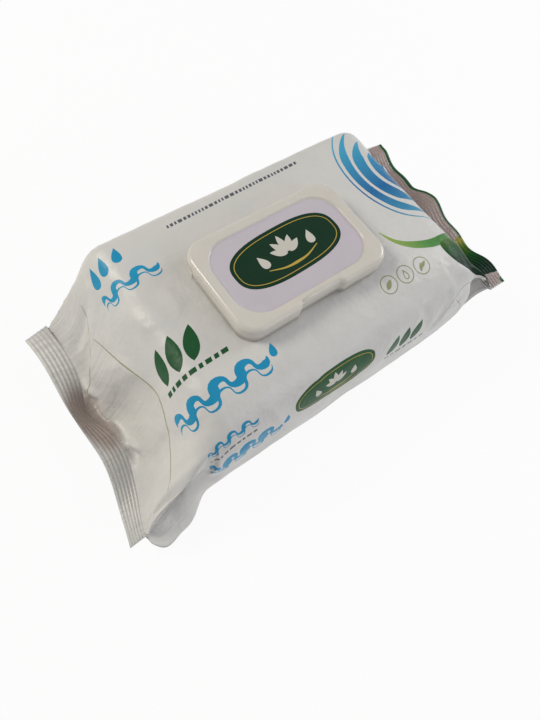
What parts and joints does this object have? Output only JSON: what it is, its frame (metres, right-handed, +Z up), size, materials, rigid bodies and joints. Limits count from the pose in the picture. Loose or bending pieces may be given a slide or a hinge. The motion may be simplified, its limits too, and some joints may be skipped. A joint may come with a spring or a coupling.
{
  "type": "wet wipes pack",
  "caption": "Film flow-wrap bag of folded wet wipes with gusseted, ribbed end seals and a hinged flip lid over the dispensing opening.",
  "frame": {"origin": "under the middle of the bag, on the surface it lies on", "axes": "+X along the pack, +Y across it to the lid's hinge side, +Z up"},
  "size_m": [0.242, 0.1266, 0.0799],
  "materials": {
    "film": "white printed film, satin gloss",
    "plastic": "white moulded polypropylene, satin",
    "wipes": "moist white nonwoven"
  },
  "bodies": {
    "pack": {"film_pouch": "film", "wipes_stack": "wipes", "lid_frame": "plastic"},
    "lid": {"flip_lid": "plastic"}
  },
  "joints": [
    {"name": "lid_hinge", "type": "hinge", "parent": "pack", "child": "lid", "pos_m": [-0.0025, 0.02775, 0.0751], "axis": [-1, 0, 0], "range_deg": [0, 140]}
  ]
}
